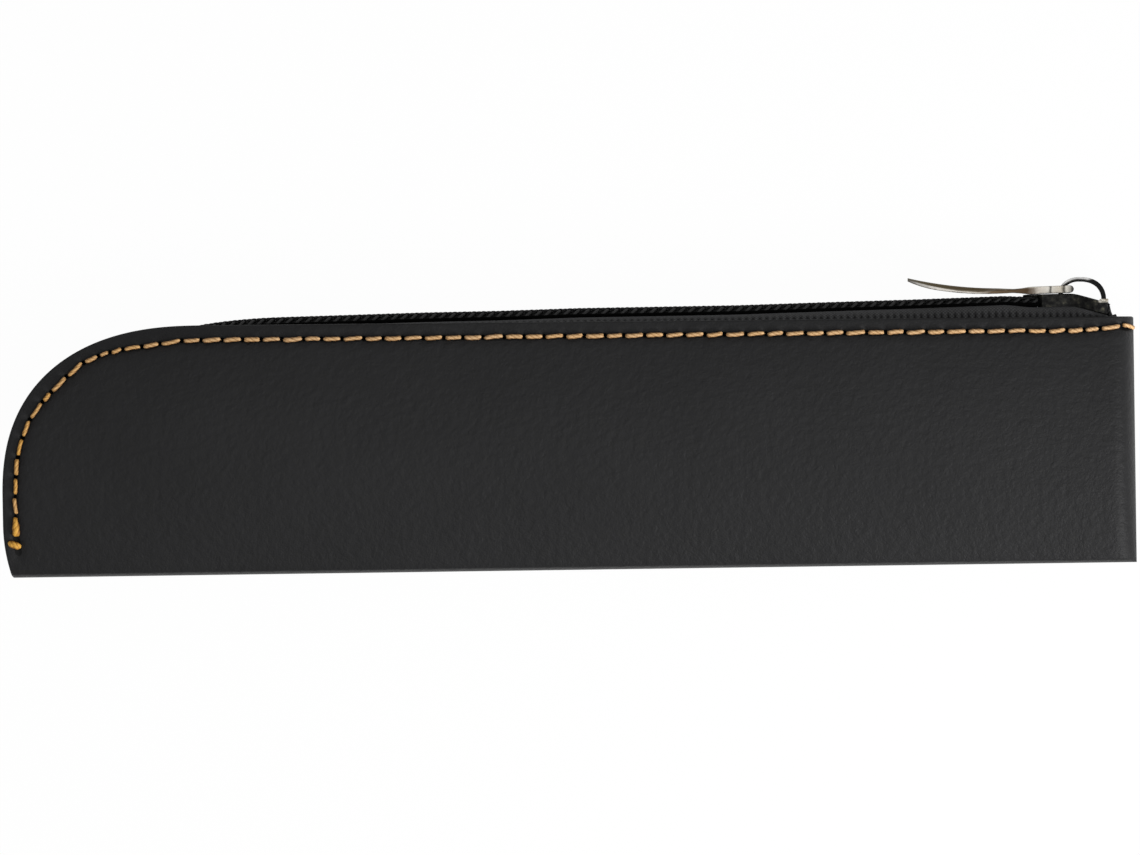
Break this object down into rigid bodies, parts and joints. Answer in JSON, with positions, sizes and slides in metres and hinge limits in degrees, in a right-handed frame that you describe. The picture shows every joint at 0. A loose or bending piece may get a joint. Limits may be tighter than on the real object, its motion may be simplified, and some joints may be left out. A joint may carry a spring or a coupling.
{
  "type": "zipped fountain pen case",
  "caption": "Slim black leather pen case folded along the bottom, with a coil zipper round one corner and along the top, contrast topstitching and a leaf-shaped metal pull.",
  "frame": {"origin": "middle of the back panel's flat face, on which the case lies", "axes": "+X along the case towards the sewn end, +Y towards the zipper, +Z out of the front panel"},
  "size_m": [0.2, 0.0507, 0.017],
  "materials": {
    "leather": "matt fine-grained black",
    "lining": "plain woven, matt",
    "interlining": "pressed fibre board, matt",
    "zipper_tape": "ribbed polyester weave",
    "zipper_coil": "nylon, satin",
    "zipper_cord": "braided cord",
    "zipper_stops": "satin",
    "topstitch_thread": "twisted thread, light tan to orange",
    "slider_metal": "dark gunmetal plating, satin",
    "bridge_metal": "dark nickel, bright",
    "pull_metal": "polished dark nickel"
  },
  "bodies": {
    "case": {"leather_shell": "leather", "lining": "lining", "front_interlining": "interlining", "back_interlining": "interlining", "front_tape": "zipper_tape", "back_tape": "zipper_tape", "front_coil": "zipper_coil", "back_coil": "zipper_coil", "front_coil_core": "zipper_cord", "back_coil_core": "zipper_cord", "bottom_stop": "zipper_stops", "front_top_stop": "zipper_stops", "back_top_stop": "zipper_stops", "front_topstitching": "topstitch_thread", "back_topstitching": "topstitch_thread"},
    "slider": {"slider_body": "slider_metal", "slider_bridge": "bridge_metal"},
    "pull": {"pull_tab": "pull_metal"}
  },
  "joints": [
    {"name": "slider_travel", "type": "slide", "parent": "case", "child": "slider", "axis": [-0.9999, -0.0131, 0], "range_m": [0, 0.13], "deforming": ["front_tape", "back_tape", "front_coil", "back_coil", "front_coil_core", "back_coil_core"]},
    {"name": "pull_swing", "type": "hinge", "parent": "slider", "child": "pull", "pos_m": [0.08886, 0.02666, 0.0085], "axis": [0, 0, -1], "range_deg": [0, 180]}
  ]
}
